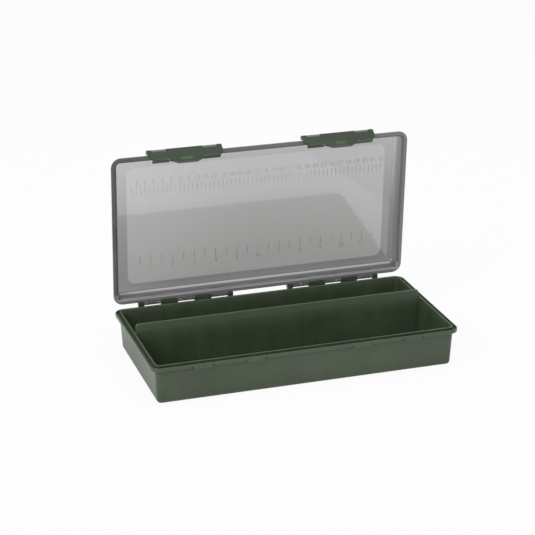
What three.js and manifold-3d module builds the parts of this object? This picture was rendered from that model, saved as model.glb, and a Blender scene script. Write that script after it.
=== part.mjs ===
// A flat tackle box, shown with its lid open: an olive tray with a lengthwise divider, a clear lid on
// two pinned hinge groups at the back, and two snap latches pinned to the lid's front edge.
// Lengths are millimetres. X runs along the box, -Y is the front, +Z is up, and the origin is the
// centre of the tray's underside. The lid and latches are drawn closed and then turned open.
import * as THREE from "three";
import { mergeVertices } from "three/addons/utils/BufferGeometryUtils.js";
import Module from "manifold-3d";

const wasm = await Module();
wasm.setup();

// Facets: how many straight sides stand for a curve.
const CORNER_STEPS = 7;
const EDGE_STEPS = 3;
const TAB_STEPS = 6;
const ROUND_SIDES = 28;
const PIN_SIDES = 20;

// Clearances between separate pieces.
const SEAT_GAP = 0.3;
const SIDE_GAP = 0.35;
const PIN_GAP = 0.08;
const OVERLAP = 0.4;

// The tray. Insets are measured inwards from the outer face of its lip.
const LIP_HALF_X = 174;
const LIP_HALF_Y = 88;
const LIP_CORNER_R = 11;
const LIP_BOTTOM_Z = 39.2;
const LIP_TOP_Z = 43.5;
const LIP_WALL = 1.5;
const GROOVE_FLOOR_Z = 41;
const RIM_INSET = 4.75;
const RIM_TOP_Z = 45;
const TRAY_WALL = 2;
const WALL_TOP_INSET = 4.8;
const FOOT_INSET = 6.8;
const FOOT_EDGE_R = 3.5;
const FOOT_CORNER_R = 5.2;
const INNER_CORNER_R = 3.4;
const FLOOR_THICK = 2;
const FLOOR_FILLET_R = 2.5;
const EDGE_BREAK = 0.35;

// The catch bars under the tray's front lip, two for each latch.
const CATCH_LONG = 20.8;
const CATCH_BOTTOM_Z = 37.6;
const CATCH_THICK = 1.8;
const CATCH_NOTCH_WIDE = 1.6;
const CATCH_NOTCH_TOP_Z = 41.2;

// The divider and the slot ribs that hold its ends.
const DIVIDER_FRONT_Y = 13.5;
const DIVIDER_THICK = 2;
const DIVIDER_TOP_Z = 53.8;
const DIVIDER_END_INSET = 8;
const DIVIDER_CORNER_R = 3;
const SLOT_RIB_WIDE = 1.8;
const SLOT_RIB_DEEP = 1.4;
const SLOT_RIB_TOP_Z = 44;

// The rear hinges: one pin through seven knuckles in each group. Ends are measured from the group's
// centre.
const HINGE_BEHIND = 2;
const HINGE_Z = 47;
const HINGE_GROUP_INSET = 85.2;
const HINGE_KNUCKLE_R = 3.2;
const TRAY_KNUCKLE_R = 2.5;
const MID_KNUCKLE_END = 10.2;
const TRAY_KNUCKLE_END = 29.4;
const LID_KNUCKLE_END = 49.8;
const EAR_END = 55.9;
const EAR_BLIND = 1.2;
const KNUCKLE_LEFT_GAP = 0.9;
const HINGE_PIN_R = 1.1;
const GUSSET_DROP = 2.2;
const STOP_THICK = 1.8;
const STOP_HIGH = 3.8;
const LID_OPEN_DEG = 86;

// The lid, in its closed place. Insets are measured inwards from the outer edge of its flange.
const LID_END_GAP = 0.6;
const LID_RIM_Z = 44;
const LID_FLANGE_THICK = 2;
const LID_STEP_INSET = 4;
const LID_STEP_HIGH = 1.5;
const LID_MOUTH_INSET = 6;
const LID_WALL = 1.9;
const LID_WALL_TOP_INSET = 7.4;
const LID_BORDER_Z = 59.5;
const LID_SKIN = 1.8;
const LID_FILLET = 1.6;
const LID_INNER_R = 3;
const PANEL_INSET = 20.4;
const PANEL_REAR = 3.6;
const PANEL_FRONT = 1.5;
const PANEL_STEP = 0.5;
const PANEL_RUN = 1;
const PANEL_CORNER_R = 9;
const GATE_R = 1.2;
const GATE_HIGH = 0.35;

// The latches, in their closed place. The pin stands in front of the lid's flange and above it.
const LATCH_PIN_OUT = 1.6;
const LATCH_PIN_UP = 6;
const LATCH_PIN_R = 1;
const LATCH_KNUCKLE_R = 2.5;
const PLATE_OUT = 2.9;
const LID_LATCH_KNUCKLE_R = 2.3;
const LATCH_INSET = 84.4;
const LATCH_HALF = 42.7;
const LATCH_EAR = 5.3;
const LATCH_WINDOW = 17;
const LATCH_PLATE = 1.2;
const LATCH_REACH = 14;
const LATCH_SHOULDER = 7.5;
const LATCH_CORNER = 6;
const HOOK_THICK = 1.4;
const HOOK_LAP = 1.1;
const HOOK_INSET = 0.8;
const CATCH_FROM_END = 3.1;
const TAB_TOP_HALF = 22.5;
const TAB_END_HALF = 11.8;
const TAB_REACH = 20.8;
const TAB_LIP = 0.7;
const TAB_LIP_WIDE = 1.4;
const THUMB_HALF_X = 7.2;
const THUMB_HALF_Z = 2.3;
const THUMB_FROM_END = 5.5;
const THUMB_RAISE = 0.7;

// Derived places.
const FRONT_Y = -LIP_HALF_Y;
const LID_HALF_X = LIP_HALF_X - LID_END_GAP;
const LID_HALF_Y = LIP_HALF_Y;
const LID_FRONT_Y = -LID_HALF_Y;
const HINGE_Y = LIP_HALF_Y + HINGE_BEHIND;
const HINGE_GROUP_X = LIP_HALF_X - HINGE_GROUP_INSET;
const LATCH_X = LIP_HALF_X - LATCH_INSET;
const LATCH_EAR_START = LATCH_HALF - LATCH_EAR;
const LATCH_MID_END = LATCH_EAR_START - LATCH_WINDOW;
const CATCH_FAR = LATCH_HALF - CATCH_FROM_END;
const CATCH_NEAR = CATCH_FAR - CATCH_LONG;
const DIVIDER_HALF_X = LIP_HALF_X - DIVIDER_END_INSET;
const LATCH_PIN_Y = LID_FRONT_Y - LATCH_PIN_OUT;
const LATCH_PIN_Z = LID_RIM_Z + LATCH_PIN_UP;
const PLATE_OUTER_Y = LATCH_PIN_Y - PLATE_OUT;
const PLATE_INNER_Y = PLATE_OUTER_Y + LATCH_PLATE;
const HOOK_TOP_Z = CATCH_BOTTOM_Z - SEAT_GAP;
const RIM_INNER_INSET = RIM_INSET + TRAY_WALL;
const FOOT_INNER_INSET = FOOT_INSET + TRAY_WALL;
const DIVIDER_BACK_Y = DIVIDER_FRONT_Y + DIVIDER_THICK;

// The open latch swings in until its plate rests on the lid's flange.
const plateOffset = PLATE_OUT - LATCH_PLATE - SEAT_GAP;
const cornerDistance = Math.hypot(LATCH_PIN_OUT, LATCH_PIN_UP);
const droop = Math.atan2(LATCH_PIN_OUT, LATCH_PIN_UP) + Math.asin(plateOffset / cornerDistance);

// A manifold solid from a list of corners and a list of triangles.
function solidOf(corners, faces) {
  return new wasm.Manifold(
    new wasm.Mesh({
      numProp: 3,
      vertProperties: new Float32Array(corners.flat()),
      triVerts: new Uint32Array(faces.flat()),
    }),
  );
}

// One ring of points round a rectangle's outline, moved in by the inset. Its rear and front sides may
// reach further out than its ends.
function ring(halfX, halfY, inset, z, cornerR, rear = 0, front = 0) {
  const straightX = halfX - inset - cornerR;
  const straightY = halfY - inset - cornerR;
  const points = [];
  for (let quarter = 0; quarter < 4; quarter++) {
    const signX = quarter === 0 || quarter === 3 ? 1 : -1;
    const signY = quarter < 2 ? 1 : -1;
    for (let i = 0; i <= CORNER_STEPS; i++) {
      const angle = ((quarter + i / CORNER_STEPS) * Math.PI) / 2;
      points.push([
        signX * straightX + cornerR * Math.cos(angle),
        signY * straightY + cornerR * Math.sin(angle) + (signY > 0 ? rear : -front),
        z,
      ]);
    }
  }
  return points;
}

// A closed body from rings that start in the middle below, run out and up, and end in the middle above.
function ringSolid(halfX, halfY, section) {
  const rings = section.map((row) => ring(halfX, halfY, ...row));
  const count = rings[0].length;
  const last = rings.length - 1;
  const corners = rings.flat();
  const faces = [];
  for (let j = 0; j < last; j++) {
    for (let i = 0; i < count; i++) {
      const next = (i + 1) % count;
      const a = j * count + i;
      const b = j * count + next;
      faces.push([a, b, b + count], [a, b + count, a + count]);
    }
  }
  corners.push([0, 0, section[0][1]], [0, 0, section[last][1]]);
  const below = corners.length - 2;
  for (let i = 0; i < count; i++) {
    const next = (i + 1) % count;
    faces.push([below, next, i]);
    faces.push([below + 1, last * count + i, last * count + next]);
  }
  return solidOf(corners, faces);
}

// A straight prism along X, Y or Z. Its outline is given as [y, z], [x, z] or [x, y].
function prism(axis, outline, from, to) {
  let points = outline.map(([a, b]) => new THREE.Vector2(a, b));
  if (axis === "y") points = points.map((p) => new THREE.Vector2(p.y, p.x));
  if (THREE.ShapeUtils.area(points) < 0) points.reverse();
  const place = {
    x: (p, along) => [along, p.x, p.y],
    y: (p, along) => [p.y, along, p.x],
    z: (p, along) => [p.x, p.y, along],
  }[axis];
  const count = points.length;
  const corners = [];
  for (const along of [from, to]) {
    for (const p of points) corners.push(place(p, along));
  }
  const faces = [];
  for (const [a, b, c] of THREE.ShapeUtils.triangulateShape(points, [])) {
    faces.push([a, c, b], [a + count, b + count, c + count]);
  }
  for (let i = 0; i < count; i++) {
    const next = (i + 1) % count;
    faces.push([i, next, next + count], [i, next + count, i + count]);
  }
  return solidOf(corners, faces);
}

// A box between two corners.
function box([x0, y0, z0], [x1, y1, z1]) {
  return prism("z", [[x0, y0], [x1, y0], [x1, y1], [x0, y1]], z0, z1);
}

// A round bar along X.
function bar(y, z, radius, from, to, sides = ROUND_SIDES) {
  const outline = [];
  for (let i = 0; i < sides; i++) {
    const angle = ((i + 0.5) / sides) * 2 * Math.PI;
    outline.push([y + radius * Math.cos(angle), z + radius * Math.sin(angle)]);
  }
  return prism("x", outline, from, to);
}

// Points of an arc from one angle to another, in degrees.
function arc(centreA, centreB, radius, fromDeg, toDeg, steps = EDGE_STEPS) {
  const points = [];
  for (let i = 0; i <= steps; i++) {
    const angle = THREE.MathUtils.degToRad(fromDeg + ((toDeg - fromDeg) * i) / steps);
    points.push([centreA + radius * Math.cos(angle), centreB + radius * Math.sin(angle)]);
  }
  return points;
}

// How far the tray's inner wall face stands from the lip's outer face at a height.
function innerWallInset(z) {
  const share = (z - FLOOR_THICK) / (RIM_TOP_Z - FLOOR_THICK);
  return FOOT_INNER_INSET + (RIM_INNER_INSET - FOOT_INNER_INSET) * share;
}

// The tray's shell: floor, drafted walls, web, lip, groove and inner rim in one closed section.
function trayShell() {
  const section = [];
  const rimCornerR = LIP_CORNER_R - RIM_INSET;
  for (const [out, z] of arc(FOOT_INSET + FOOT_EDGE_R, FOOT_EDGE_R, FOOT_EDGE_R, 270, 180)) {
    section.push([out, z, FOOT_CORNER_R - (out - FOOT_INSET)]);
  }
  section.push([WALL_TOP_INSET, LIP_BOTTOM_Z, rimCornerR]);
  section.push([EDGE_BREAK, LIP_BOTTOM_Z, LIP_CORNER_R - EDGE_BREAK]);
  section.push([0, LIP_BOTTOM_Z + EDGE_BREAK, LIP_CORNER_R]);
  section.push([0, LIP_TOP_Z - EDGE_BREAK, LIP_CORNER_R]);
  section.push([EDGE_BREAK, LIP_TOP_Z, LIP_CORNER_R - EDGE_BREAK]);
  section.push([LIP_WALL - EDGE_BREAK, LIP_TOP_Z, LIP_CORNER_R - LIP_WALL + EDGE_BREAK]);
  section.push([LIP_WALL, LIP_TOP_Z - EDGE_BREAK, LIP_CORNER_R - LIP_WALL]);
  section.push([LIP_WALL, GROOVE_FLOOR_Z, LIP_CORNER_R - LIP_WALL]);
  section.push([RIM_INSET, GROOVE_FLOOR_Z, rimCornerR]);
  section.push([RIM_INSET, RIM_TOP_Z - EDGE_BREAK, rimCornerR]);
  section.push([RIM_INSET + EDGE_BREAK, RIM_TOP_Z, rimCornerR - EDGE_BREAK]);
  section.push([RIM_INNER_INSET - EDGE_BREAK, RIM_TOP_Z, rimCornerR - TRAY_WALL + EDGE_BREAK]);
  section.push([RIM_INNER_INSET, RIM_TOP_Z - EDGE_BREAK, rimCornerR - TRAY_WALL]);
  const filletZ = FLOOR_THICK + FLOOR_FILLET_R;
  const filletInset = innerWallInset(filletZ) + FLOOR_FILLET_R;
  for (const [inset, z] of arc(filletInset, filletZ, FLOOR_FILLET_R, 180, 270)) {
    section.push([inset, z, INNER_CORNER_R - (inset - filletInset + FLOOR_FILLET_R)]);
  }
  return ringSolid(LIP_HALF_X, LIP_HALF_Y, section);
}

// One tray knuckle or ear with the gusset that carries it on the rear lip. The gusset's shoulder
// reaches under the bare bit of pin that is left of the next lid knuckle.
function trayKnuckle(from, to, shoulder) {
  const frontY = HINGE_Y - TRAY_KNUCKLE_R;
  const backY = HINGE_Y + TRAY_KNUCKLE_R;
  const gusset = (topZ) => [
    [frontY, GROOVE_FLOOR_Z - EDGE_BREAK],
    [LIP_HALF_Y - EDGE_BREAK, LIP_BOTTOM_Z + EDGE_BREAK],
    [backY, HINGE_Z - GUSSET_DROP],
    [backY, topZ],
    [frontY, topZ],
  ];
  const knuckle = bar(HINGE_Y, HINGE_Z, TRAY_KNUCKLE_R, from, to);
  const solid = knuckle.add(prism("x", gusset(HINGE_Z), from, to));
  if (!shoulder) return solid;
  const underPin = HINGE_Z - HINGE_PIN_R - PIN_GAP - SEAT_GAP;
  return solid.add(prism("x", gusset(underPin), from, to + shoulder));
}

// A heel on top of a tray knuckle, on which the lid's flange comes to rest when the lid is open.
function stopHeel(from, to) {
  const lean = THREE.MathUtils.degToRad(90 - LID_OPEN_DEG);
  const place = (behind, up) => [
    HINGE_Y + behind * Math.cos(lean) - up * Math.sin(lean),
    HINGE_Z + behind * Math.sin(lean) + up * Math.cos(lean),
  ];
  const face = LID_RIM_Z + LID_FLANGE_THICK - HINGE_Z + SEAT_GAP;
  const outline = [
    place(face, 0),
    place(face, STOP_HIGH),
    place(face + STOP_THICK - EDGE_BREAK, STOP_HIGH),
    place(face + STOP_THICK, STOP_HIGH - EDGE_BREAK),
    place(face + STOP_THICK, 0),
  ];
  return prism("x", outline, from, to);
}

// The two slot ribs and the floor stop at one end wall.
function slotRibs(side) {
  let ribs = null;
  const topX = LIP_HALF_X - innerWallInset(SLOT_RIB_TOP_Z);
  const footX = LIP_HALF_X - innerWallInset(FLOOR_THICK);
  const outline = [
    [side * (topX + OVERLAP), SLOT_RIB_TOP_Z],
    [side * (topX - SLOT_RIB_DEEP), SLOT_RIB_TOP_Z],
    [side * (footX - SLOT_RIB_DEEP), FLOOR_THICK - OVERLAP],
    [side * (footX + OVERLAP), FLOOR_THICK - OVERLAP],
  ];
  const starts = [DIVIDER_FRONT_Y - SEAT_GAP - SLOT_RIB_WIDE, DIVIDER_BACK_Y + SEAT_GAP];
  for (const start of starts) {
    const rib = prism("y", outline, start, start + SLOT_RIB_WIDE);
    ribs = ribs ? ribs.add(rib) : rib;
  }
  return ribs;
}

// The tray: the shell with its catch bars, slot ribs, hinge knuckles, stop heels and pin bores.
function tray() {
  let solid = trayShell();
  for (const side of [-1, 1]) {
    for (const half of [-1, 1]) {
      const near = side * LATCH_X + half * CATCH_NEAR;
      const far = side * LATCH_X + half * CATCH_FAR;
      const from = Math.min(near, far);
      const to = Math.max(near, far);
      const topZ = LIP_BOTTOM_Z + OVERLAP;
      solid = solid.add(box([from, FRONT_Y, CATCH_BOTTOM_Z], [to, FRONT_Y + CATCH_THICK, topZ]));
      for (const start of [from - CATCH_NOTCH_WIDE, to]) {
        const low = [start, FRONT_Y - OVERLAP, CATCH_BOTTOM_Z];
        const high = [start + CATCH_NOTCH_WIDE, FRONT_Y + CATCH_THICK, CATCH_NOTCH_TOP_Z];
        solid = solid.subtract(box(low, high));
      }
    }
    solid = solid.add(slotRibs(side));
    const centre = side * HINGE_GROUP_X;
    for (const half of [-1, 1]) {
      const spans = [[MID_KNUCKLE_END, TRAY_KNUCKLE_END], [LID_KNUCKLE_END, EAR_END]];
      for (const [near, far] of spans) {
        const ends = [centre + half * near, centre + half * far];
        const shoulder = far === EAR_END && half > 0 ? 0 : KNUCKLE_LEFT_GAP - SIDE_GAP;
        solid = solid.add(trayKnuckle(Math.min(...ends), Math.max(...ends), shoulder));
      }
      const ends = [centre + half * MID_KNUCKLE_END, centre + half * TRAY_KNUCKLE_END];
      solid = solid.add(stopHeel(Math.min(...ends), Math.max(...ends)));
    }
    const openEnd = centre - side * (EAR_END + OVERLAP);
    const blindEnd = centre + side * (EAR_END - EAR_BLIND);
    const bore = [Math.min(openEnd, blindEnd), Math.max(openEnd, blindEnd)];
    solid = solid.subtract(bar(HINGE_Y, HINGE_Z, HINGE_PIN_R + PIN_GAP, ...bore, PIN_SIDES));
  }
  return solid;
}

// The lid's shell in its closed place: stepped flange, drafted wall, border and raised panel.
function lidShell() {
  const flangeTopZ = LID_RIM_Z + LID_FLANGE_THICK;
  const stepZ = LID_RIM_Z + LID_STEP_HIGH;
  const panelR = PANEL_CORNER_R;
  const mouthR = LIP_CORNER_R - LID_MOUTH_INSET;
  const outerFoot = LID_MOUTH_INSET - LID_WALL;
  const topR = LIP_CORNER_R - LID_WALL_TOP_INSET + EDGE_BREAK;
  const roundInset = LID_WALL_TOP_INSET + LID_INNER_R;
  const roundZ = LID_BORDER_Z - LID_INNER_R;
  const outerR = LID_INNER_R + LID_SKIN;
  const section = [
    [PANEL_INSET + PANEL_RUN, LID_BORDER_Z + PANEL_STEP, panelR, PANEL_REAR, PANEL_FRONT],
    [PANEL_INSET, LID_BORDER_Z, panelR, PANEL_REAR, PANEL_FRONT],
  ];
  for (const [inset, z] of arc(roundInset, roundZ, LID_INNER_R, 90, 180, EDGE_STEPS + 1)) {
    section.push([inset, z, topR]);
  }
  section.push(
    [LID_MOUTH_INSET, stepZ + EDGE_BREAK, mouthR],
    [LID_MOUTH_INSET - EDGE_BREAK, stepZ, mouthR + EDGE_BREAK],
    [LID_STEP_INSET + EDGE_BREAK, stepZ, LIP_CORNER_R - LID_STEP_INSET - EDGE_BREAK],
    [LID_STEP_INSET, LID_RIM_Z, LIP_CORNER_R - LID_STEP_INSET],
    [EDGE_BREAK, LID_RIM_Z, LIP_CORNER_R - EDGE_BREAK],
    [0, LID_RIM_Z + EDGE_BREAK, LIP_CORNER_R],
    [0, flangeTopZ - EDGE_BREAK, LIP_CORNER_R],
    [EDGE_BREAK, flangeTopZ, LIP_CORNER_R - EDGE_BREAK],
    [outerFoot - LID_FILLET, flangeTopZ, LIP_CORNER_R - outerFoot + LID_FILLET],
    [outerFoot - LID_FILLET / 3, flangeTopZ + LID_FILLET / 3, LIP_CORNER_R - outerFoot],
    [outerFoot, flangeTopZ + LID_FILLET, LIP_CORNER_R - outerFoot],
  );
  for (const [inset, z] of arc(roundInset, roundZ, outerR, 180, 90, EDGE_STEPS + 1)) {
    section.push([inset, z, topR + LID_SKIN]);
  }
  section.push(
    [PANEL_INSET - PANEL_RUN, LID_BORDER_Z + LID_SKIN, panelR, PANEL_REAR, PANEL_FRONT],
    [PANEL_INSET, LID_BORDER_Z + LID_SKIN + PANEL_STEP, panelR, PANEL_REAR, PANEL_FRONT],
  );
  return ringSolid(LID_HALF_X, LID_HALF_Y, section);
}

// The lid in its closed place, with hinge knuckles at the back and latch knuckles at the front.
function closedLid() {
  let solid = lidShell();
  const webTopZ = HINGE_Z + HINGE_KNUCKLE_R - EDGE_BREAK;
  const rearWeb = [
    [HINGE_Y, LID_RIM_Z + SEAT_GAP],
    [LID_HALF_Y, LID_RIM_Z + SEAT_GAP],
    [LID_HALF_Y - LID_STEP_INSET - EDGE_BREAK, LID_RIM_Z + LID_FLANGE_THICK - OVERLAP],
    [LID_HALF_Y - LID_STEP_INSET - EDGE_BREAK, webTopZ],
    [HINGE_Y, webTopZ],
  ];
  for (const side of [-1, 1]) {
    const centre = side * HINGE_GROUP_X;
    const notches = [
      [-EAR_END - SIDE_GAP, -LID_KNUCKLE_END + KNUCKLE_LEFT_GAP],
      [-TRAY_KNUCKLE_END - SIDE_GAP, -MID_KNUCKLE_END + KNUCKLE_LEFT_GAP],
      [MID_KNUCKLE_END - OVERLAP, TRAY_KNUCKLE_END + KNUCKLE_LEFT_GAP],
      [LID_KNUCKLE_END - OVERLAP, EAR_END + SIDE_GAP],
    ];
    const notchY = HINGE_Y - TRAY_KNUCKLE_R - SIDE_GAP;
    for (const [from, to] of notches) {
      const low = [centre + from, notchY, LID_RIM_Z - OVERLAP];
      solid = solid.subtract(box(low, [centre + to, HINGE_Y, HINGE_Z]));
    }
    const spans = [
      [-LID_KNUCKLE_END, -TRAY_KNUCKLE_END],
      [-MID_KNUCKLE_END, MID_KNUCKLE_END],
      [TRAY_KNUCKLE_END, LID_KNUCKLE_END],
    ];
    for (const [from, to] of spans) {
      const start = centre + from + KNUCKLE_LEFT_GAP;
      const end = centre + to - SIDE_GAP;
      const knuckle = bar(HINGE_Y, HINGE_Z, HINGE_KNUCKLE_R, start, end);
      solid = solid.add(knuckle.add(prism("x", rearWeb, start, end)));
    }
    const boreFrom = centre - EAR_END;
    const boreTo = centre + EAR_END;
    solid = solid.subtract(
      bar(HINGE_Y, HINGE_Z, HINGE_PIN_R + PIN_GAP, boreFrom, boreTo, PIN_SIDES),
    );
  }
  const wallY = LID_FRONT_Y + LID_MOUTH_INSET - LID_WALL + OVERLAP;
  const frontWeb = [
    [LATCH_PIN_Y, LATCH_PIN_Z],
    [LID_FRONT_Y, LID_RIM_Z + LID_FLANGE_THICK / 2],
    [wallY, LID_RIM_Z + LID_FLANGE_THICK / 2],
    [wallY, LATCH_PIN_Z + LID_LATCH_KNUCKLE_R - EDGE_BREAK],
    [LATCH_PIN_Y, LATCH_PIN_Z + LID_LATCH_KNUCKLE_R - EDGE_BREAK],
  ];
  for (const side of [-1, 1]) {
    const centre = side * LATCH_X;
    for (const half of [-1, 1]) {
      const ends = [
        centre + half * (LATCH_MID_END + SIDE_GAP),
        centre + half * (LATCH_EAR_START - SIDE_GAP),
      ];
      const from = Math.min(...ends);
      const to = Math.max(...ends);
      const knuckle = bar(LATCH_PIN_Y, LATCH_PIN_Z, LID_LATCH_KNUCKLE_R, from, to);
      solid = solid.add(knuckle.add(prism("x", frontWeb, from, to)));
    }
    const from = centre - LATCH_HALF;
    const to = centre + LATCH_HALF;
    const bore = bar(LATCH_PIN_Y, LATCH_PIN_Z, LATCH_PIN_R + PIN_GAP, from, to, PIN_SIDES);
    solid = solid.subtract(bore);
  }
  const gateZ = LID_BORDER_Z + LID_SKIN + PANEL_STEP;
  const gate = arc(0, 0, GATE_R, 0, 330, 11);
  return solid.add(prism("z", gate, gateZ - EDGE_BREAK, gateZ + GATE_HIGH));
}

// A latch in its closed place: plate, thumb tab, knuckles on its pin and two hooks under the bars.
function closedLatch(side) {
  const centre = side * LATCH_X;
  const hookBottom = HOOK_TOP_Z - HOOK_THICK;
  const tabZ = LATCH_PIN_Z - TAB_REACH;
  const outline = [];
  for (const half of [-1, 1]) {
    const points = [
      [centre + half * LATCH_HALF, LATCH_PIN_Z],
      [centre + half * LATCH_HALF, LATCH_PIN_Z - LATCH_SHOULDER],
      [centre + half * (LATCH_HALF - LATCH_CORNER / 3), LATCH_PIN_Z - LATCH_REACH + LATCH_CORNER / 3],
      [centre + half * (LATCH_HALF - LATCH_CORNER), hookBottom],
    ];
    for (let i = 0; i <= TAB_STEPS; i++) {
      const share = (1 + Math.cos((Math.PI * i) / TAB_STEPS)) / 2;
      const halfWide = TAB_END_HALF + (TAB_TOP_HALF - TAB_END_HALF) * share;
      points.push([centre + half * halfWide, hookBottom + ((tabZ - hookBottom) * i) / TAB_STEPS]);
    }
    outline.push(...(half < 0 ? points : points.reverse()));
  }
  let solid = prism("y", outline, PLATE_OUTER_Y, PLATE_INNER_Y);
  const lipOutline = [
    [PLATE_OUTER_Y - TAB_LIP, tabZ],
    [PLATE_OUTER_Y + EDGE_BREAK, tabZ],
    [PLATE_OUTER_Y + EDGE_BREAK, tabZ + TAB_LIP_WIDE * 2],
  ];
  solid = solid.add(prism("x", lipOutline, centre - TAB_END_HALF, centre + TAB_END_HALF));
  const thumb = wasm.Manifold.sphere(1, ROUND_SIDES)
    .scale([THUMB_HALF_X, THUMB_RAISE, THUMB_HALF_Z])
    .translate([centre, PLATE_OUTER_Y, tabZ + THUMB_FROM_END]);
  solid = solid.add(thumb);
  const spans = [
    [-LATCH_HALF, -LATCH_EAR_START],
    [-LATCH_MID_END, LATCH_MID_END],
    [LATCH_EAR_START, LATCH_HALF],
  ];
  const windowLow = LATCH_PIN_Z - LID_LATCH_KNUCKLE_R - SIDE_GAP;
  for (const half of [-1, 1]) {
    const ends = [centre + half * LATCH_MID_END, centre + half * LATCH_EAR_START];
    const low = [Math.min(...ends), PLATE_OUTER_Y - OVERLAP, windowLow];
    const high = [Math.max(...ends), PLATE_INNER_Y + OVERLAP, LATCH_PIN_Z + OVERLAP];
    solid = solid.subtract(box(low, high));
    const hookEnds = [
      centre + half * (CATCH_NEAR + HOOK_INSET),
      centre + half * (CATCH_FAR - HOOK_INSET),
    ];
    const hookLow = [Math.min(...hookEnds), PLATE_INNER_Y - EDGE_BREAK, hookBottom];
    const hookHigh = [Math.max(...hookEnds), FRONT_Y + HOOK_LAP, HOOK_TOP_Z];
    solid = solid.add(box(hookLow, hookHigh));
  }
  for (const [from, to] of spans) {
    const start = centre + from;
    const end = centre + to;
    const filler = [
      [PLATE_OUTER_Y, LATCH_PIN_Z],
      [PLATE_OUTER_Y, LATCH_PIN_Z - LATCH_KNUCKLE_R],
      [PLATE_INNER_Y, LATCH_PIN_Z - LATCH_KNUCKLE_R],
      [LATCH_PIN_Y, LATCH_PIN_Z],
    ];
    const knuckle = bar(LATCH_PIN_Y, LATCH_PIN_Z, LATCH_KNUCKLE_R, start, end);
    solid = solid.add(knuckle.add(prism("x", filler, start, end)));
  }
  const boreEnds = [centre - LATCH_HALF - OVERLAP, centre + LATCH_HALF + OVERLAP];
  const bore = bar(LATCH_PIN_Y, LATCH_PIN_Z, LATCH_PIN_R + PIN_GAP, ...boreEnds, PIN_SIDES);
  return solid.subtract(bore);
}

// The divider: a plate whose ends follow the drafted end walls, with rounded top corners.
function divider() {
  const footZ = FLOOR_THICK + SEAT_GAP;
  const outline = [];
  const filletTop = FLOOR_THICK + FLOOR_FILLET_R;
  for (const side of [-1, 1]) {
    const wallX = (z) => side * (LIP_HALF_X - innerWallInset(z) - SEAT_GAP);
    const corner = arc(
      side * (DIVIDER_HALF_X - DIVIDER_CORNER_R),
      DIVIDER_TOP_Z - DIVIDER_CORNER_R,
      DIVIDER_CORNER_R,
      side < 0 ? 180 : 0,
      90,
      EDGE_STEPS * 2,
    );
    const points = [
      [wallX(filletTop) - side * FLOOR_FILLET_R, footZ],
      [wallX(filletTop), filletTop + SEAT_GAP],
      [side * DIVIDER_HALF_X, RIM_TOP_Z - EDGE_BREAK],
      ...corner,
    ];
    outline.push(...(side < 0 ? points : points.reverse()));
  }
  return prism("y", outline, DIVIDER_FRONT_Y, DIVIDER_BACK_Y);
}

// A steel pin along X, a little shorter than the knuckles that it runs through.
function pin(y, z, radius, from, to) {
  return bar(y, z, radius, from, to, PIN_SIDES);
}

// A turn about a line along X, as a matrix.
function turnAbout(y, z, angle) {
  const matrix = new THREE.Matrix4().makeTranslation(0, y, z);
  matrix.multiply(new THREE.Matrix4().makeRotationX(angle));
  return matrix.multiply(new THREE.Matrix4().makeTranslation(0, -y, -z));
}

const paint = (name, color, roughness, metalness) =>
  new THREE.MeshStandardMaterial({ name, color, roughness, metalness });

const group = new THREE.Group();
group.name = "tackle_box";

// Turns a manifold solid into a named mesh of the group.
function addMesh(name, solid, material, matrices = []) {
  const data = solid.getMesh();
  const stride = data.numProp;
  const corners = new Float32Array(data.numVert * 3);
  for (let i = 0; i < data.numVert; i++) {
    corners.set(data.vertProperties.subarray(i * stride, i * stride + 3), i * 3);
  }
  let geometry = new THREE.BufferGeometry();
  geometry.setAttribute("position", new THREE.BufferAttribute(corners, 3));
  geometry.setIndex(new THREE.BufferAttribute(new Uint32Array(data.triVerts), 1));
  for (const matrix of matrices) geometry.applyMatrix4(matrix);
  geometry = mergeVertices(geometry);
  geometry.computeVertexNormals();
  const mesh = new THREE.Mesh(geometry, material);
  mesh.name = name;
  group.add(mesh);
}

const openTurn = turnAbout(HINGE_Y, HINGE_Z, -THREE.MathUtils.degToRad(LID_OPEN_DEG));
const droopTurn = turnAbout(LATCH_PIN_Y, LATCH_PIN_Z, droop);

addMesh("base_tray", tray(), paint("tray_olive", 0x46523f, 0.55, 0));
addMesh("divider", divider(), paint("divider_olive", 0x46523f, 0.55, 0));
addMesh("lid", closedLid(), paint("lid_smoke", 0x9a9a9c, 0.2, 0), [openTurn]);

for (const [side, word] of [[-1, "left"], [1, "right"]]) {
  const hingeIn = side * (HINGE_GROUP_X - EAR_END + SEAT_GAP);
  const hingeOut = side * (HINGE_GROUP_X + EAR_END - EAR_BLIND - SEAT_GAP);
  const hingeEnds = [Math.min(hingeIn, hingeOut), Math.max(hingeIn, hingeOut)];
  const hingePin = pin(HINGE_Y, HINGE_Z, HINGE_PIN_R, ...hingeEnds);
  addMesh(`hinge_pin_${word}`, hingePin, paint("pin_steel", 0xc4c6c8, 0.25, 1));
  const latchEnds = [
    side * LATCH_X - LATCH_HALF + SEAT_GAP,
    side * LATCH_X + LATCH_HALF - SEAT_GAP,
  ];
  const latchPin = pin(LATCH_PIN_Y, LATCH_PIN_Z, LATCH_PIN_R, ...latchEnds);
  addMesh(`latch_pin_${word}`, latchPin, paint("pin_steel", 0xc4c6c8, 0.25, 1), [openTurn]);
  const latch = closedLatch(side);
  addMesh(`latch_${word}`, latch, paint("latch_olive", 0x4a5647, 0.5, 0), [droopTurn, openTurn]);
}

export default group;
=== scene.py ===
"""A flat tackle box on a white table: olive tray with one lengthwise divider, and a hinged smoke-clear
lid with a moulded ruler and two snap latches. Lengths are metres."""
import math

import bmesh
import bpy
from mathutils import Matrix, Vector


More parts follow.
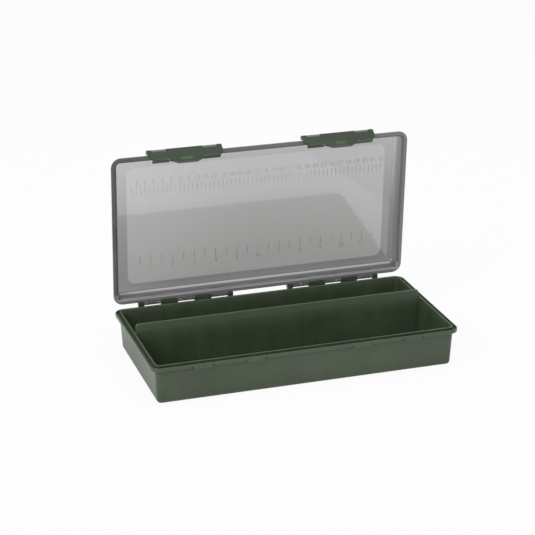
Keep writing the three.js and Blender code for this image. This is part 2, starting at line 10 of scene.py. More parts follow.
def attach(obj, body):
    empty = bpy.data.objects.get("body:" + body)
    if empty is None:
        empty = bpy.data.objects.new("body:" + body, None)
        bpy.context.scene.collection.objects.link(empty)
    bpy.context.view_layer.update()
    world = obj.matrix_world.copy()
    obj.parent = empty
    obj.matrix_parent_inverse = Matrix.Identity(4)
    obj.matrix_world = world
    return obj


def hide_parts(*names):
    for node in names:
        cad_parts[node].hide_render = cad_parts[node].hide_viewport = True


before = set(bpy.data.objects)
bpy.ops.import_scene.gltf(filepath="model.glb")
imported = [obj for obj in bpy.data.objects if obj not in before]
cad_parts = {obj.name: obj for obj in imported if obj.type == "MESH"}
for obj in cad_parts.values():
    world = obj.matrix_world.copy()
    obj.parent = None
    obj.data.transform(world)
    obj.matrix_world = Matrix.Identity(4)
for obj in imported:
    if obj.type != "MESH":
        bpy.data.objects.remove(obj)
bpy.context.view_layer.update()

MM = 0.001


def rgb(red, green, blue):
    """A colour with full cover."""
    return (red, green, blue, 1)


# The camera, fitted to the edges of the photographed box.
CAMERA_PLACE = (-0.57838, -1.7502, 0.80027)
CAMERA_TURN_DEG = -17.7145
CAMERA_TILT_DEG = 90 - 20.6569
CAMERA_ROLL_DEG = -0.2968
CAMERA_LENS = 120.535
CAMERA_REACH = 50
SENSOR_WIDE = 36

# The lamps, each by its place, width and power. Both face the origin.
LEFT_WINDOW = ((-1.6, -0.9, 1.5), 1.2, 19)
TOP_SOFTBOX = ((0.3, -0.2, 2.2), 1.6, 14)

# The room's own light. Camera, gloss and glass see the room as plain white.
ROOM_LIGHT = 0.5
WHITE = rgb(1, 1, 1)

# Limits of zones are pairs: where the zone's edge lies, and half the width of its soft step.

# The white table. The lid mirrors it brighter than the camera sees it, a painted reflection glow,
# with a painted shadow close round the box in what it mirrors, and as plain white beyond a slanting
# line that edges the painted reflection.
TABLE_HALF = 6
TABLE_TOP = -0.2 * MM
TABLE_WHITE = rgb(0.86, 0.86, 0.86)
TABLE_GLOW = 0.93
MIRRORED_WHITE = 1.8
PAINTED_REFLECTION_LINE_SLOPE = -0.372
PAINTED_REFLECTION_LINE = (300 * MM, 4 * MM)
PAINTED_SHADOW_ROUND = (25 * MM, 35 * MM)
PAINTED_SHADOW_ROUND_LOSS = 0.4

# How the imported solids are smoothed.
MERGE_DISTANCE = 0.002 * MM
FLAT_DEG = 0.4
SHARP_DEG = 32
EDGE_R = 0.15 * MM
DIVIDER_EDGE_R = 0.3 * MM

# The tray: its size, and the zones of its painted light and shade: paler inner walls near the rim,
# a painted shadow under the lip and painted shade at the foot.
TRAY_HALF_X = 174 * MM
TRAY_HALF_Y = 88 * MM
RIM_HIGH = 45 * MM
INSIDE_WALLS = (6.2 * MM, 0.4 * MM)
INSIDE_PALE_FROM = (40 * MM, 7 * MM)
INSIDE_PALE = 0.7
UNDER_LIP_FROM = (35.4 * MM, 0.7 * MM)
UNDER_LIP_TO = (38.4 * MM, 0.5 * MM)
UNDER_LIP_INSET = (3 * MM, 0.4 * MM)
UNDER_LIP_PAINTED_SHADOW = 0.32
FOOT_TO = (2.2 * MM, 1.6 * MM)
TRAY_OLIVES = (rgb(0.040, 0.061, 0.030), rgb(0.060, 0.085, 0.046))
# Painted light for the inner walls and the divider, and painted shade under the lip and at the foot.
PAINTED_LIGHT_OLIVE = rgb(0.096, 0.132, 0.085)
PAINTED_SHADE_OLIVE = rgb(0.012, 0.018, 0.009)

# The divider's painted light, by height: paler upwards, most of all above the rim, and paler to
# the right.
DIVIDER_UPPER_FROM = (39 * MM, 11 * MM)
DIVIDER_UPPER_PALE = 0.72
ABOVE_RIM = (RIM_HIGH, 0.8 * MM)
ABOVE_RIM_PALE = 0.28
DIVIDER_LOWER_TO = (32 * MM, 12 * MM)
DIVIDER_LOWER_PALE = 0.3
DIVIDER_TOP_FROM = (40 * MM, 5 * MM)
DIVIDER_TOP_PALE = 0.4
DIVIDER_TOP_LIT_OLIVE = rgb(0.13, 0.172, 0.117)

# The latches hang from their pins, in this direction when the lid is open. Their zones are measured
# down from the pin, and aside from the latch's middle.
LATCH_X = 89.6 * MM
LATCH_PIN = Vector((0, 80.464 * MM, 226.372 * MM))
LATCH_DOWN = Vector((0, -0.8484, -0.5293))
# The latch's painted light: a painted highlight on the raised thumb mark and along the tab's edge, and
# painted light on the hooks.
THUMB_DOWN = 15.2 * MM
THUMB_HALF_X = 7.6 * MM
THUMB_HALF_HIGH = 2.8 * MM
THUMB_EDGE = (1.0, 0.45)
THUMB_HIGHLIGHT = 0.8
THUMB_HIGHLIGHT_OLIVE = rgb(0.075, 0.105, 0.066)
HOOK_FROM = (13.7 * MM, 0.2 * MM)
HOOK_ASIDE = (20.5 * MM, 1 * MM)
HOOK_PAINTED_LIGHT_OLIVE = rgb(0.1, 0.135, 0.09)
TAB_EDGE_FROM = (19.8 * MM, 0.4 * MM)
TAB_EDGE_HIGHLIGHT_OLIVE = rgb(0.1, 0.13, 0.09)
LATCH_OLIVES = (rgb(0.02, 0.036, 0.0175), rgb(0.034, 0.055, 0.029))

# The lid stands open about a line along X.
HINGE = Vector((0, 90 * MM, 47 * MM))
LID_OPEN = math.radians(86)
LID_UP = Vector((0, -math.cos(LID_OPEN), math.sin(LID_OPEN)))
LID_OUT = Vector((0, math.sin(LID_OPEN), math.cos(LID_OPEN)))

# The lid's measures: along it from the hinge line, out of its mouth, and inset from its outline.
LID_HALF_X = 173.4 * MM
LID_DEEP = 176 * MM
LID_FRONT_EDGE = 178 * MM
LID_REAR_EDGE = 2 * MM
LID_FLANGE_WIDE = 6 * MM
LID_STEP_INSET = 4 * MM
LID_WALL_HIGH = 9.5 * MM
PANEL_INSET = 20.4 * MM
PANEL_REAR = 3.6 * MM
PANEL_FRONT = 1.5 * MM
PANEL_CORNER_R = 9 * MM
PANEL_INNER_HIGH = 13 * MM

# The lid's zones.
PANEL_EDGE = (PANEL_CORNER_R, 0.6 * MM)
FLANGE_END = (LID_FLANGE_WIDE, 0.8 * MM)
LEDGE_END = (LID_FLANGE_WIDE, 0.6 * MM)
RIM_END = (LID_STEP_INSET, 0.4 * MM)
MOUTH_END = (-0.9 * MM, 0.3 * MM)
HINGE_STRIP_END = (14 * MM, 1 * MM)
HINGE_KNUCKLE_END = (0.7 * MM, 0.4 * MM)
LATCH_KNUCKLE_FROM = (LID_FRONT_EDGE, 0.4 * MM)
WALL_END = (8.2 * MM, 0.5 * MM)
ROUND_OUT_FROM = (7.8 * MM, 0.5 * MM)
ROUND_INSET_FROM = (6.7 * MM, 0.3 * MM)
ROUND_INSET_TO = (8.0 * MM, 0.4 * MM)
ROUND_SKIN = (4.8 * MM, 0.4 * MM)

# Greys of the clear plastic, from dark to pale where there are two. The border's level between them
# is painted light and shade: it changes away from the hinge, to the right, towards both ends and
# towards the middle. The panel's painted light and shade changes away from the hinge, to the right
# and towards the middle.
BORDER_GREYS = (rgb(0.217, 0.215, 0.218), rgb(0.56, 0.56, 0.565))
BORDER_PAINTED_SHADE = (0.82, -0.09, 0.17, -0.24)
PANEL_GREYS = (rgb(0.37, 0.366, 0.357), rgb(0.585, 0.585, 0.59))
PANEL_PAINTED_SHADE = (0.95, -0.1, -0.2)
PANEL_START = 0.03
CLEAR_FLANGE_GREY = rgb(0.145, 0.15, 0.165)
# The wall by the hinge has painted shade, paler up towards the round, and the round a painted
# highlight.
CLEAR_WALL_SHADE_GREYS = (rgb(0.13, 0.13, 0.13), rgb(0.28, 0.28, 0.275))
CLEAR_ROUND_HIGHLIGHT_GREY = rgb(0.6, 0.6, 0.595)
CLOUD_GREY = rgb(0.50, 0.49, 0.48)
CLOUD_SHARE = 0.10

# Greys of the thick places, from dark to pale where there are two, and how opaque each place is.
# The flange is painted paler to the right, low down and by the hinge, as painted light; the ledge
# and the round carry painted highlights, and the wall painted shade.
FLANGE_PAINTED_LIGHT_GREYS = (rgb(0.084, 0.087, 0.102), rgb(0.275, 0.277, 0.285))
FLANGE_LOW_GAIN = 2.9
FLANGE_LOW_MOST = 0.5
HINGE_STRIP_LIGHT_GREY = rgb(0.33, 0.333, 0.345)
KNUCKLE_GREYS = (rgb(0.16, 0.16, 0.17), rgb(0.42, 0.42, 0.44))
KNUCKLE_SPECKS = (0.57, 0.06)
LATCH_KNUCKLE_GREY = rgb(0.2, 0.2, 0.203)
LEDGE_HIGHLIGHT_GREY = rgb(0.56, 0.56, 0.56)
WALL_SHADE_GREYS = (rgb(0.14, 0.14, 0.14), rgb(0.34, 0.34, 0.34))
ROUND_HIGHLIGHT_GREY = rgb(0.72, 0.72, 0.71)
RIM_OPAQUE = 0.75
LEDGE_OPAQUE = 0.7
WALL_OPAQUE = 0.8
ROUND_OPAQUE = 0.7
THICK_ROUGHER = 0.35

# The bowed panel leans its mirror image by this slope along the lid.
PANEL_LEAN = 0.028
LID_GRAIN_SCALE = 900
LID_GRAIN_DEEP = 0.004 * MM

# The ruler rows on the lid's inner face, measured from the hinge line.
RULER_HALF_X = 150 * MM
RULER_ZERO_X = -171.6 * MM
METRIC_STEP = 5 * MM
METRIC_STEPS = 70
METRIC_TICK = (126.6 * MM, 135 * MM)
METRIC_NUMBER_ROW = 140.6 * MM
INCH_FROM_X = -138.5 * MM
HALF_INCH = 12.7 * MM
HALF_INCHES = 30
INCH_TICK = (42.8 * MM, 52 * MM)
INCH_NUMBER_ROW = 37.7 * MM
TICK_WIDE = 0.8 * MM
MARK_HIGH = 0.12 * MM
MARK_MERGE = 0.001 * MM
NUMBER_SIZE = 7.2 * MM
METRIC_ROW_FROM = (90 * MM, 30 * MM)
INCH_ROW_GREYS = (rgb(0.62, 0.62, 0.63), rgb(0.84, 0.84, 0.84))
METRIC_ROW_GREYS = (rgb(0.7, 0.7, 0.71), rgb(0.86, 0.86, 0.86))

STEEL_GREYS = (rgb(0.52, 0.52, 0.53), rgb(0.72, 0.72, 0.73))


class Wire:
    """A shader socket that takes part in sums."""

    def __init__(self, nodes, socket):
        self.nodes = nodes
        self.socket = socket

    def sum(self, operation, other, turned=False):
        pair = {0: other, 1: self} if turned else {0: self, 1: other}
        return self.nodes.node("ShaderNodeMath", {"operation": operation}, pair)

    def __add__(self, other):
        return self.sum("ADD", other)

    def __radd__(self, other):
        return self.sum("ADD", other)

    def __sub__(self, other):
        return self.sum("SUBTRACT", other)

    def __rsub__(self, other):
        return self.sum("SUBTRACT", other, turned=True)

    def __mul__(self, other):
        return self.sum("MULTIPLY", other)

    def __rmul__(self, other):
        return self.sum("MULTIPLY", other)

    def over(self, limit, soft):
        """One above the limit and nought below it, with a soft step between."""
        settings = {"interpolation_type": "SMOOTHSTEP", "clamp": True}
        inputs = {0: self, 1: limit - soft, 2: limit + soft, 3: 0.0, 4: 1.0}
        return self.nodes.node("ShaderNodeMapRange", settings, inputs)

    def size(self):
        return self.nodes.node("ShaderNodeMath", {"operation": "ABSOLUTE"}, {0: self})

    def highest(self, other):
        return self.sum("MAXIMUM", other)

    def lowest(self, other):
        return self.sum("MINIMUM", other)


class Nodes:
    """A node tree of a material or of the room, which ends in one shader."""

    def __init__(self, owner, end):
        owner.use_nodes = True
        self.owner = owner
        self.tree = owner.node_tree
        self.tree.nodes.clear()
        self.end = self.tree.nodes.new(end)

    def node(self, kind, settings=None, inputs=None, output=0):
        made = self.tree.nodes.new(kind)
        for key, value in (settings or {}).items():
            if key == "stops":
                ramp = made.color_ramp
                while len(ramp.elements) < len(value):
                    ramp.elements.new(0.5)
                for element, (position, color) in zip(ramp.elements, value):
                    element.position = position
                    element.color = color
            else:
                setattr(made, key, value)
        for key, value in (inputs or {}).items():
            socket = made.inputs[key]
            if isinstance(value, Wire):
                self.tree.links.new(value.socket, socket)
            else:
                socket.default_value = value
        return Wire(self, made.outputs[output])

    def ray(self, kind):
        """One for rays of a kind and nought for others."""
        return self.node("ShaderNodeLightPath", output=f"Is {kind} Ray")

    def close(self, shader):
        self.tree.links.new(shader.socket, self.end.inputs["Surface"])
        return self.owner


class Finish(Nodes):
    """A material in the making."""

    def __init__(self, name):
        super().__init__(bpy.data.materials.new(name), "ShaderNodeOutputMaterial")
        self.place = self.node("ShaderNodeTexCoord", output="Object")

    def dot(self, direction, offset=0.0):
        """The distance of the shaded point along a direction."""
        settings = {"operation": "DOT_PRODUCT"}
        inputs = {0: self.place, 1: direction}
        return self.node("ShaderNodeVectorMath", settings, inputs, "Value") - offset

    def noise(self, scale, stretch=(1, 1, 1), detail=3.0, roughness=0.5):
        mapped = self.node("ShaderNodeMapping", None, {"Vector": self.place, "Scale": stretch})
        inputs = {"Vector": mapped, "Scale": scale, "Detail": detail, "Roughness": roughness}
        return self.node("ShaderNodeTexNoise", None, inputs, "Fac")

    def blend(self, factor, first, second):
        """A colour between two."""
        settings = {"data_type": "RGBA", "blend_type": "MIX", "clamp_factor": True}
        return self.node("ShaderNodeMix", settings, {0: factor, 6: first, 7: second}, 2)

    def bump(self, height, strength, distance):
        inputs = {"Height": height, "Strength": strength, "Distance": distance}
        return self.node("ShaderNodeBump", None, inputs, "Normal")

    def shader(self, **inputs):
        """A surface shader, by its sockets' names with underscores."""
        named = {key.replace("_", " "): value for key, value in inputs.items()}
        return self.node("ShaderNodeBsdfPrincipled", None, named, "BSDF")

    def mix(self, share, first, second):
        """The material of two shaders, with the second's share."""
        inputs = {0: share, 1: first, 2: second}
        return self.close(self.node("ShaderNodeMixShader", None, inputs))

    def plastic(self, **inputs):
        return self.close(self.shader(**inputs))


def tray_shades(finish, tone):
    """Painted light and shade: paler inner walls towards the rim, a painted shadow under the lip and
    painted shade at the foot.
    """
    high = finish.dot((0, 0, 1))
    from_end = TRAY_HALF_X - finish.dot((1, 0, 0)).size()
    inset = from_end.lowest(TRAY_HALF_Y - finish.dot((0, 1, 0)).size())
    inside = inset.over(*INSIDE_WALLS)
    tone = finish.blend(inside * high.over(*INSIDE_PALE_FROM) * INSIDE_PALE, tone, PAINTED_LIGHT_OLIVE)
    band = high.over(*UNDER_LIP_FROM) * inset.over(*UNDER_LIP_INSET)
    foot = 1.0 - high.over(*FOOT_TO)
    under_lip_shadow = band * (1.0 - high.over(*UNDER_LIP_TO)) * UNDER_LIP_PAINTED_SHADOW
    return finish.blend(under_lip_shadow.highest(foot) * (1.0 - inside), tone, PAINTED_SHADE_OLIVE)


def divider_shades(finish, tone):
    """Painted light on the plate: it grows paler upwards, most of all above the rim, and paler to the
    right.
    """
    high = finish.dot((0, 0, 1))
    upper = high.over(*DIVIDER_UPPER_FROM) * DIVIDER_UPPER_PALE
    above_rim = high.over(*ABOVE_RIM) * ABOVE_RIM_PALE
    tone = finish.blend(upper + above_rim, tone, PAINTED_LIGHT_OLIVE)
    right = finish.dot((1 / TRAY_HALF_X, 0, 0)).highest(0.0)
    lower = right * right * (1.0 - high.over(*DIVIDER_LOWER_TO)) * DIVIDER_LOWER_PALE
    tone = finish.blend(lower, tone, PAINTED_LIGHT_OLIVE)
    top = right * right * high.over(*DIVIDER_TOP_FROM) * DIVIDER_TOP_PALE
    return finish.blend(top, tone, DIVIDER_TOP_LIT_OLIVE)


def latch_shades(finish, tone):
    """A painted highlight on the thumb mark and the tab edge, and painted light on the hooks from
    below.
    """
    down = finish.dot(tuple(LATCH_DOWN), LATCH_DOWN.dot(LATCH_PIN))
    aside = (finish.dot((1, 0, 0)).size() - LATCH_X).size()
    wide = aside * (1 / THUMB_HALF_X)
    tall = (down - THUMB_DOWN) * (1 / THUMB_HALF_HIGH)
    thumb = 1.0 - (wide * wide + tall * tall).over(*THUMB_EDGE)
    tone = finish.blend(thumb * THUMB_HIGHLIGHT, tone, THUMB_HIGHLIGHT_OLIVE)
    hook = down.over(*HOOK_FROM) * aside.over(*HOOK_ASIDE)
    tone = finish.blend(hook, tone, HOOK_PAINTED_LIGHT_OLIVE)
    return finish.blend(down.over(*TAB_EDGE_FROM), tone, TAB_EDGE_HIGHLIGHT_OLIVE)


def olive_plastic(name, olives, shades, streak_scale, shine, flow_share):
    """Satin olive moulded plastic: cloudy colour, faint streaks down the walls and a fine grain."""
    finish = Finish(name)
    clouds = finish.noise(scale=28, detail=4)
    streaks = finish.noise(streak_scale, stretch=(1, 1, 0.08), detail=4, roughness=0.6)
    grain = finish.noise(scale=1800, detail=2)
    flow = finish.noise(scale=260, stretch=(1, 1, 0.03), detail=2) * flow_share
    stops = list(zip((0.35, 0.68), olives))
    tone = finish.node("ShaderNodeValToRGB", {"stops": stops}, {0: clouds * 0.5 + streaks * 0.5})
    height = grain * 0.35 + clouds * 0.65 + flow
    return finish.plastic(
        Base_Color=shades(finish, tone),
        Roughness=0.32 + streaks * 0.26 + grain * 0.06,
        Normal=finish.bump(height, strength=0.12, distance=0.4 * MM),
        IOR=1.49,
        Specular_IOR_Level=shine,
    )


class LidZones:
    """Where a point of the open lid lies, and masks that are one in a zone and nought outside it."""

    def __init__(self, finish):
        self.along = finish.dot(tuple(LID_UP), LID_UP.dot(HINGE))
        self.right = finish.dot((1 / LID_HALF_X, 0, 0))
        self.rise = self.along * (1 / LID_DEEP)
        out = finish.dot(tuple(LID_OUT), LID_OUT.dot(HINGE))
        from_side = LID_HALF_X - finish.dot((1, 0, 0)).size()
        from_end = (self.along - LID_REAR_EDGE).lowest(LID_FRONT_EDGE - self.along)
        inset = from_side.lowest(from_end)
        self.panel = self.panel_zone(from_side)

        self.inner = inset.over(*FLANGE_END)
        self.rim = 1.0 - inset.over(*RIM_END)
        at_mouth = 1.0 - out.over(*MOUTH_END)
        self.ledge = (1.0 - self.rim) * (1.0 - inset.over(*LEDGE_END)) * at_mouth
        self.latch_knuckle = self.along.over(*LATCH_KNUCKLE_FROM)

        self.by_hinge = 1.0 - self.along.over(*HINGE_STRIP_END)
        self.hinge_knuckle = self.by_hinge * (1.0 - inset.over(*HINGE_KNUCKLE_END))
        self.wall = self.by_hinge * self.inner * (1.0 - inset.over(*WALL_END))
        up_wall = out * (1 / LID_WALL_HIGH)
        self.up_wall = up_wall * up_wall
        skin = (1.0 - inset.over(*ROUND_INSET_TO)) * (1.0 - (out - inset).over(*ROUND_SKIN))
        corner = out.over(*ROUND_OUT_FROM) * inset.over(*ROUND_INSET_FROM)
        self.round = self.by_hinge * corner * skin

    def panel_zone(self, from_side):
        """The raised panel, a rectangle with round corners."""
        rear = self.along - LID_REAR_EDGE + PANEL_REAR
        from_end = rear.lowest(LID_FRONT_EDGE + PANEL_FRONT - self.along)
        short_side = (PANEL_CORNER_R + PANEL_INSET - from_side).highest(0.0)
        short_end = (PANEL_CORNER_R + PANEL_INSET - from_end).highest(0.0)
        corner = (short_side * short_side + short_end * short_end).sum("POWER", 0.5)
        return 1.0 - corner.over(*PANEL_EDGE)


def clear_shades(finish, zones, clouds):
    """The clear plastic: a panel in a darker border, both with painted shade that darkens them by the
    hinge and painted light that changes across the lid, and a wall there with painted shade like a
    gutter, with a painted highlight on the round at its far side."""
    rise = zones.rise
    ends = zones.right * zones.right
    middle = (1.0 - ends) * (1.0 - ends)
    away, to_right, to_ends, to_middle = BORDER_PAINTED_SHADE
    level = rise * rise * away + zones.right * to_right + ends * to_ends
    border = finish.blend(level + middle * (1.0 - rise) * to_middle, *BORDER_GREYS)
    away, to_right, to_middle = PANEL_PAINTED_SHADE
    level = rise * away + zones.right * to_right + middle * to_middle + PANEL_START
    panel = finish.blend(level, *PANEL_GREYS)
    edge = finish.blend(zones.inner, CLEAR_FLANGE_GREY, border)
    edge = finish.blend(zones.wall, edge, finish.blend(zones.up_wall, *CLEAR_WALL_SHADE_GREYS))
    edge = finish.blend(zones.round, edge, CLEAR_ROUND_HIGHLIGHT_GREY)
    tone = finish.blend(zones.panel, edge, panel)
    return finish.blend(clouds * CLOUD_SHARE, tone, CLOUD_GREY)


def thick_shades(finish, zones):
    """The thick places: a flange with painted light, paler to the right, low down and by the hinge,
    mottled hinge knuckles, painted highlights on the ledge and the round, and painted shade on the
    wall.
    """
    low = (1.0 - zones.rise) * (1.0 - zones.rise)
    level = zones.right * 0.5 + 0.5 + (low * low * FLANGE_LOW_GAIN).lowest(FLANGE_LOW_MOST)
    tone = finish.blend(level, *FLANGE_PAINTED_LIGHT_GREYS)
    tone = finish.blend(zones.by_hinge, tone, HINGE_STRIP_LIGHT_GREY)
    specks = finish.noise(scale=420, detail=3, roughness=0.7)
    mottled = finish.blend(specks.over(*KNUCKLE_SPECKS), *KNUCKLE_GREYS)
    tone = finish.blend(zones.hinge_knuckle, tone, mottled)
    tone = finish.blend(zones.latch_knuckle, tone, LATCH_KNUCKLE_GREY)
    tone = finish.blend(zones.ledge * zones.by_hinge, tone, LEDGE_HIGHLIGHT_GREY)
    tone = finish.blend(zones.wall, tone, finish.blend(zones.up_wall, *WALL_SHADE_GREYS))
    return finish.blend(zones.round, tone, ROUND_HIGHLIGHT_GREY)


def smoke_plastic(name):
    """Smoke-clear plastic: lightly frosted where it is thin, and mostly opaque where it is thick."""
    finish = Finish(name)
    zones = LidZones(finish)
    clouds = finish.noise(scale=14, detail=3)
    grain = finish.noise(LID_GRAIN_SCALE, detail=2)
    rough = 0.03 + clouds * 0.03
    lean = zones.along * PANEL_LEAN + grain * LID_GRAIN_DEEP
    clear = finish.shader(
        Base_Color=clear_shades(finish, zones, clouds),
        Roughness=rough,
        Normal=finish.bump(lean, strength=1.0, distance=1.0),
        IOR=1.5,
        Transmission_Weight=0.9,
    )
    thick = finish.shader(
        Base_Color=thick_shades(finish, zones),
        Roughness=rough + THICK_ROUGHER,
        Normal=finish.bump(grain, strength=1.0, distance=LID_GRAIN_DEEP),
        IOR=1.5,
    )
    wall = zones.wall * (1.0 - zones.round)
    edge = zones.rim * RIM_OPAQUE + zones.ledge * LEDGE_OPAQUE
    return finish.mix(edge + wall * WALL_OPAQUE + zones.round * ROUND_OPAQUE, clear, thick)


def mark_plastic(name):
    """The ruler's marks: nearly clear, so that they only tint the panel a little."""
    finish = Finish(name)
    clouds = finish.noise(scale=40, detail=3)
    along = finish.dot(tuple(LID_UP), LID_UP.dot(HINGE))
    inch_row = finish.blend(clouds, *INCH_ROW_GREYS)
    metric_row = finish.blend(clouds, *METRIC_ROW_GREYS)
    return finish.plastic(
        Base_Color=finish.blend(along.over(*METRIC_ROW_FROM), inch_row, metric_row),
        Roughness=0.05 + clouds * 0.05,
        IOR=1.5,
        Transmission_Weight=0.97,
    )


def drawn_steel(name):
    """Bright drawn wire with fine lines along it."""
    finish = Finish(name)
    lines = finish.noise(scale=900, stretch=(0.02, 1, 1), detail=3)
    clouds = finish.noise(scale=60, detail=2)
    return finish.plastic(
        Base_Color=finish.blend(lines, *STEEL_GREYS),
        Metallic=1.0,
        Roughness=0.2 + lines * 0.12 + clouds * 0.06,
        Normal=finish.bump(lines, strength=0.1, distance=0.1 * MM),
    )


def white_table(name):
    """A pale surface that the camera sees as white with a faint shadow, and mirrors see brighter as a
    painted reflection glow, with a painted shadow close round the box.
    """
    finish = Finish(name)
    seen = finish.ray("Camera").highest(finish.ray("Transmission"))
    mirrored = finish.ray("Glossy") * (1.0 - seen)
    beyond = finish.dot((1, PAINTED_REFLECTION_LINE_SLOPE, 0)).over(*PAINTED_REFLECTION_LINE)
    from_end = finish.dot((1, 0, 0)).size() - TRAY_HALF_X
    away = from_end.highest(finish.dot((0, 1, 0)).size() - TRAY_HALF_Y)
    painted_shadow = 1.0 - away.over(*PAINTED_SHADOW_ROUND)
    gain = (MIRRORED_WHITE - beyond * (MIRRORED_WHITE - 1.0)) * (1.0 - painted_shadow * PAINTED_SHADOW_ROUND_LOSS)
    lit = finish.node("ShaderNodeBsdfDiffuse", None, {"Color": TABLE_WHITE})
    inputs = {"Color": WHITE, "Strength": seen + mirrored * gain}
    glow = finish.node("ShaderNodeEmission", None, inputs)
    return finish.mix(seen * TABLE_GLOW + mirrored, lit, glow)


def link(name, data):
    """A new object in the scene."""
    made = bpy.data.objects.new(name, data)
    bpy.context.scene.collection.objects.link(made)
    return made


def paint(piece, material):
    piece.data.materials.clear()
    piece.data.materials.append(material)


def is_sharp(edge):
    return len(edge.link_faces) == 2 and edge.calc_face_angle(0) > math.radians(SHARP_DEG)


def moulding(node, name, body, material, edge_r=EDGE_R):
    """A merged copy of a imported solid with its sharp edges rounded, which stands for that solid."""
    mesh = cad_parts[node].data.copy()
    mesh.name = name
    work = bmesh.new()
    work.from_mesh(mesh)
    bmesh.ops.remove_doubles(work, verts=work.verts, dist=MERGE_DISTANCE)
    flat = math.radians(FLAT_DEG)
    bmesh.ops.dissolve_limit(work, angle_limit=flat, verts=work.verts, edges=work.edges)
    bmesh.ops.bevel(
        work,
        geom=[edge for edge in work.edges if is_sharp(edge)],
        offset=edge_r,
        offset_type="OFFSET",
        segments=2,
        profile=0.5,
        affect="EDGES",
        clamp_overlap=True,
        material=-1,
    )
    for face in work.faces:
        face.smooth = True
    for edge in work.edges:
        edge.smooth = not is_sharp(edge)
    work.to_mesh(mesh)
    work.free()
    piece = link(name, mesh)
    paint(piece, material)
    evener = piece.modifiers.new("even_normals", "WEIGHTED_NORMAL")
    evener.keep_sharp = True
    evener.weight = 100
    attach(piece, body)
    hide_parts(node)


def tick(work, x, low, high):
    """A raised tick of the ruler, as if the lid lay flat."""
    made = bmesh.ops.create_cube(work, size=1)["verts"]
    size = Matrix.Diagonal((TICK_WIDE, high - low, MARK_HIGH, 1))
    shift = Matrix.Translation((x, (low + high) / 2, 0))
    bmesh.ops.transform(work, matrix=shift @ size, verts=made)


def number(work, value, x, row):
    """A raised number of the ruler, as if the lid lay flat."""
    curve = bpy.data.curves.new("number", "FONT")
    curve.body = str(value)
    curve.size = NUMBER_SIZE
    curve.align_x = "CENTER"
    curve.align_y = "CENTER"
    curve.extrude = MARK_HIGH / 2
    curve.resolution_u = 3
    word = link("number", curve)
    bpy.context.view_layer.update()
    mesh = bpy.data.meshes.new_from_object(word)
    mesh.transform(Matrix.Translation((x, row, 0)))
    work.from_mesh(mesh)
    bpy.data.objects.remove(word)
    bpy.data.meshes.remove(mesh)


def ruler(material):
    """The moulded ruler: raised ticks and plain numbers on the lid's inner face."""
    work = bmesh.new()
    for i in range(1, METRIC_STEPS):
        x = RULER_ZERO_X + METRIC_STEP * i
        if abs(x) <= RULER_HALF_X:
            tick(work, x, *METRIC_TICK)
            if i % 2 == 0:
                number(work, i // 2, x, METRIC_NUMBER_ROW)
    for i in range(HALF_INCHES):
        x = INCH_FROM_X + HALF_INCH * i
        if abs(x) <= RULER_HALF_X:
            tick(work, x, *INCH_TICK)
            if i % 2 == 1:
                number(work, i // 2 + 1, x, INCH_NUMBER_ROW)
    onto_lid = Matrix((
        (1, 0, 0, 0),
        (0, LID_UP.y, -LID_OUT.y, HINGE.y),
        (0, LID_UP.z, -LID_OUT.z, HINGE.z),
        (0, 0, 0, 1),
    ))
    sink = Matrix.Translation((0, 0, MARK_HIGH / 2 - PANEL_INNER_HIGH))
    bmesh.ops.remove_doubles(work, verts=work.verts, dist=MARK_MERGE)
    bmesh.ops.transform(work, matrix=onto_lid @ sink, verts=work.verts)
    bmesh.ops.recalc_face_normals(work, faces=work.faces)
    mesh = bpy.data.meshes.new("lid_ruler")
    work.to_mesh(mesh)
    work.free()
    piece = link("lid_ruler", mesh)
    paint(piece, material)
    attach(piece, "lid_body")


def table(material):
    work = bmesh.new()
    bmesh.ops.create_grid(work, x_segments=1, y_segments=1, size=TABLE_HALF)
    bmesh.ops.translate(work, verts=work.verts, vec=(0, 0, TABLE_TOP))
    mesh = bpy.data.meshes.new("table")
    work.to_mesh(mesh)
    work.free()
    piece = link("table", mesh)
    paint(piece, material)


def light(name, place, wide, power):
    lamp = bpy.data.lights.new(name, "AREA")
    lamp.shape = "SQUARE"
    lamp.size = wide
    lamp.energy = power
    holder = link(name, lamp)
    holder.location = place
    holder.rotation_euler = (-Vector(place)).to_track_quat("-Z", "Y").to_euler()


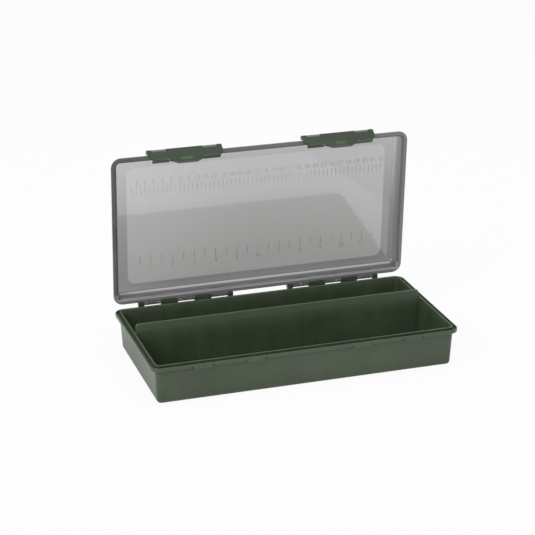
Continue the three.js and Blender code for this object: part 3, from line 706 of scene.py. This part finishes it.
def room():
    """A soft light from all round, and plain white for the camera, gloss and glass."""
    nodes = Nodes(bpy.data.worlds.new("white_room"), "ShaderNodeOutputWorld")
    seen = nodes.ray("Camera").highest(nodes.ray("Glossy")).highest(nodes.ray("Transmission"))
    strength = ROOM_LIGHT + seen * (1.0 - ROOM_LIGHT)
    inputs = {"Color": WHITE, "Strength": strength}
    bpy.context.scene.world = nodes.close(nodes.node("ShaderNodeBackground", None, inputs))


def camera():
    lens = bpy.data.cameras.new("camera")
    lens.lens = CAMERA_LENS
    lens.sensor_width = SENSOR_WIDE
    lens.clip_end = CAMERA_REACH
    eye = link("camera", lens)
    turn = Matrix.Rotation(math.radians(CAMERA_TURN_DEG), 4, "Z")
    tilt = Matrix.Rotation(math.radians(CAMERA_TILT_DEG), 4, "X")
    roll = Matrix.Rotation(math.radians(CAMERA_ROLL_DEG), 4, "Z")
    eye.matrix_world = Matrix.Translation(CAMERA_PLACE) @ turn @ tilt @ roll
    bpy.context.scene.camera = eye


camera()
room()
light("left_window", *LEFT_WINDOW)
light("top_softbox", *TOP_SOFTBOX)
table(white_table("white_table"))

tray_olive = olive_plastic(
    "tray_olive", TRAY_OLIVES, tray_shades, streak_scale=110, shine=0.46, flow_share=1.0
)
divider_olive = olive_plastic(
    "divider_olive", TRAY_OLIVES, divider_shades, streak_scale=110, shine=0.46, flow_share=0.3
)
latch_olive = olive_plastic(
    "latch_olive", LATCH_OLIVES, latch_shades, streak_scale=90, shine=0.3, flow_share=0.2
)
smoke_lid = smoke_plastic("smoke_lid")
smoke_mark = mark_plastic("smoke_mark")
bright_steel = drawn_steel("bright_steel")

moulding("base_tray", "tray_moulding", "tray_body", tray_olive)
moulding("divider", "divider_plate", "divider_body", divider_olive, DIVIDER_EDGE_R)
moulding("lid", "lid_moulding", "lid_body", smoke_lid)
for side in ("left", "right"):
    latch = f"latch_{side}"
    moulding(latch, f"{latch}_moulding", f"{latch}_body", latch_olive)
    for kind, body in (("hinge_pin", "tray_body"), ("latch_pin", "lid_body")):
        moulding(f"{kind}_{side}", f"{kind}_{side}_wire", body, bright_steel)
ruler(smoke_mark)

bpy.context.scene.view_settings.view_transform = "Standard"
